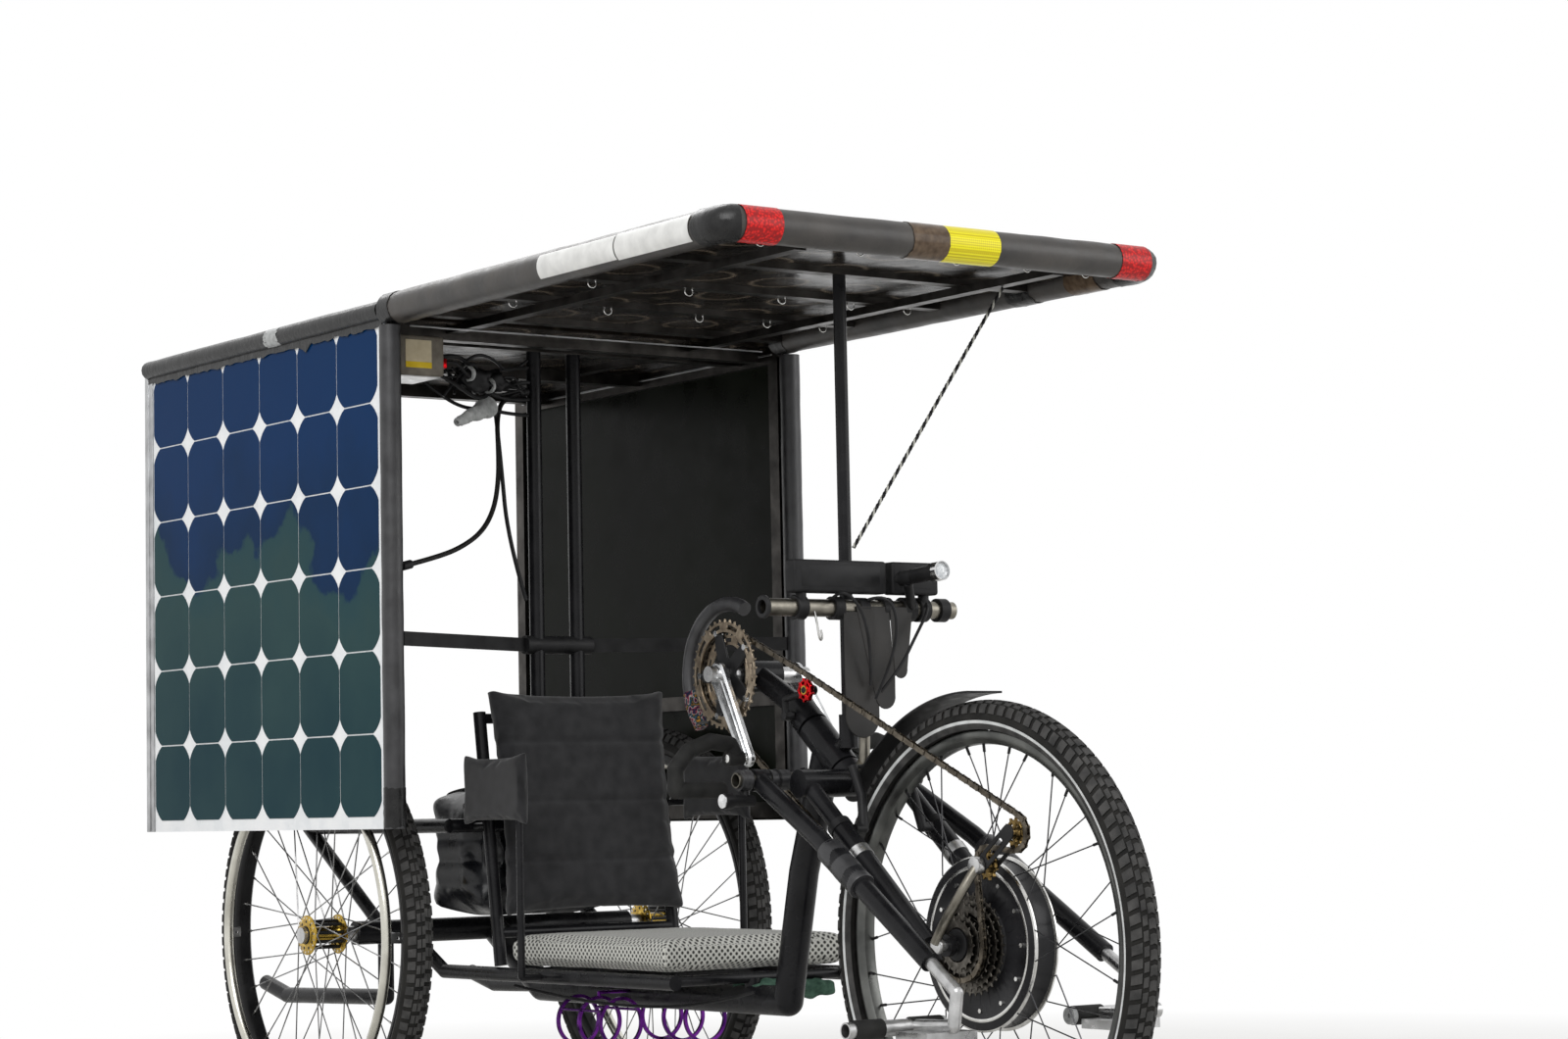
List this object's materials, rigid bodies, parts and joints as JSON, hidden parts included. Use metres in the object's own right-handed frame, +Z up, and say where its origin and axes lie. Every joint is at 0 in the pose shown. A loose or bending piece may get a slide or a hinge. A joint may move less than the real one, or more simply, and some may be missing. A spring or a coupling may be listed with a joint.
{
  "type": "solar roofed hand-cranked recumbent tricycle",
  "caption": "Recumbent trike cranked by hand, with a hub motor and crank drive in the steered front wheel and a roof and side walls of solar panels.",
  "frame": {"origin": "on the ground, below the middle of the whole vehicle", "axes": "+Z up, -Y the way it drives, +X the rider's left"},
  "size_m": [0.794, 2.145, 1.321],
  "materials": {
    "tyre_black": "matt rubber with a fine tread",
    "rim_silver": "satin anodised",
    "rim_black": "satin black anodised, silver push rim",
    "bright_steel": "bright drawn wire and bar",
    "hub_gold": "satin gold anodised",
    "hub_black": "satin black",
    "motor_black": "gloss black with a bright machined edge",
    "frame_black": "gloss black powder coat",
    "fork_black": "satin black",
    "tube_silver": "bare bent tube, satin",
    "chain_steel": "oiled steel",
    "cage_purple": "gloss purple anodised",
    "crank_alloy": "polished alloy",
    "ring_tan": "worn tan anodised",
    "grip_black": "matt moulded grip",
    "foam_grey": "closed-cell foam tube",
    "seat_mesh": "pale spacer mesh",
    "seat_fabric": "padded woven cover",
    "bag_fabric": "coated pack cloth",
    "solar_laminate": "solar cells under a clear sheet",
    "strip_alloy": "mill-finish strip",
    "display_plastic": "moulded housing",
    "flap_rubber": "thin rubber sheet",
    "box_plastic": "moulded box",
    "cable_black": "cable sheath",
    "cord_pale": "laid cord"
  },
  "bodies": {
    "frame": {"main_frame": "frame_black", "axle_beam": "frame_black", "seat_rails": "frame_black", "rear_axles": "bright_steel", "rear_frame": "frame_black", "tail_tubes": "frame_black", "seat_cushion": "seat_mesh", "backrest_frame": "frame_black", "backrest_cushion": "seat_fabric", "side_supports": "seat_fabric", "rear_bag": "bag_fabric", "bottle_cages": "cage_purple", "leg_rest_bar": "frame_black", "leg_rest_foam": "foam_grey", "footrest_booms": "tube_silver", "footrests": "tube_silver", "roof_edge_foam": "foam_grey", "roof_panel_front": "solar_laminate", "roof_panel_rear": "solar_laminate", "panel_frames": "strip_alloy", "roof_post_front": "frame_black", "rear_masts": "frame_black", "side_wall_right": "solar_laminate", "side_wall_left": "solar_laminate", "wall_posts": "foam_grey", "side_braces": "strip_alloy", "control_box": "box_plastic", "cable_glands": "cable_black", "side_cable": "cable_black", "stay_cord": "cord_pale"},
    "steering": {"fork": "fork_black", "front_axle": "bright_steel", "crank_mast": "frame_black", "accessory_bar": "tube_silver", "display": "display_plastic", "headlamp": "display_plastic", "splash_flaps": "flap_rubber", "chain_guard": "foam_grey", "chain": "chain_steel", "idler": "hub_black", "derailleur": "hub_black", "front_brake": "hub_black", "mudguard": "flap_rubber"},
    "front_wheel": {"front_tyre": "tyre_black", "front_rim": "rim_silver", "front_spokes": "bright_steel", "hub_motor": "motor_black", "cassette": "chain_steel"},
    "rear_wheel_right": {"rear_tyre_right": "tyre_black", "rear_rim_right": "rim_black", "rear_spokes_right": "bright_steel", "rear_hub_right": "hub_gold"},
    "rear_wheel_left": {"rear_tyre_left": "tyre_black", "rear_rim_left": "rim_black", "rear_spokes_left": "bright_steel", "rear_hub_left": "hub_gold"},
    "crank": {"crank_arms": "crank_alloy", "chainrings": "ring_tan"},
    "handle_right": {"handle_right": "grip_black"},
    "handle_left": {"handle_left": "grip_black"}
  },
  "joints": [
    {"name": "steering", "type": "hinge", "parent": "frame", "child": "steering", "pos_m": [0, -0.72926, 0.31422], "axis": [0, 0.766, 0.6428], "range_deg": [-15, 15]},
    {"name": "front_wheel_spin", "type": "hinge", "parent": "steering", "child": "front_wheel", "pos_m": [0, -0.7425, 0.33], "axis": [1, 0, 0], "continuous": true},
    {"name": "rear_wheel_right_spin", "type": "hinge", "parent": "frame", "child": "rear_wheel_right", "pos_m": [-0.32, 0.5575, 0.33], "axis": [1, 0, 0], "continuous": true},
    {"name": "rear_wheel_left_spin", "type": "hinge", "parent": "frame", "child": "rear_wheel_left", "pos_m": [0.32, 0.5575, 0.33], "axis": [1, 0, 0], "continuous": true},
    {"name": "crank_spin", "type": "hinge", "parent": "steering", "child": "crank", "pos_m": [0, -0.21066, 0.71674], "axis": [1, 0, 0], "continuous": true},
    {"name": "handle_right_spin", "type": "hinge", "parent": "crank", "child": "handle_right", "pos_m": [-0.109, -0.30089, 0.59071], "axis": [1, 0, 0], "continuous": true},
    {"name": "handle_left_spin", "type": "hinge", "parent": "crank", "child": "handle_left", "pos_m": [0.109, -0.30089, 0.59071], "axis": [1, 0, 0], "continuous": true}
  ]
}
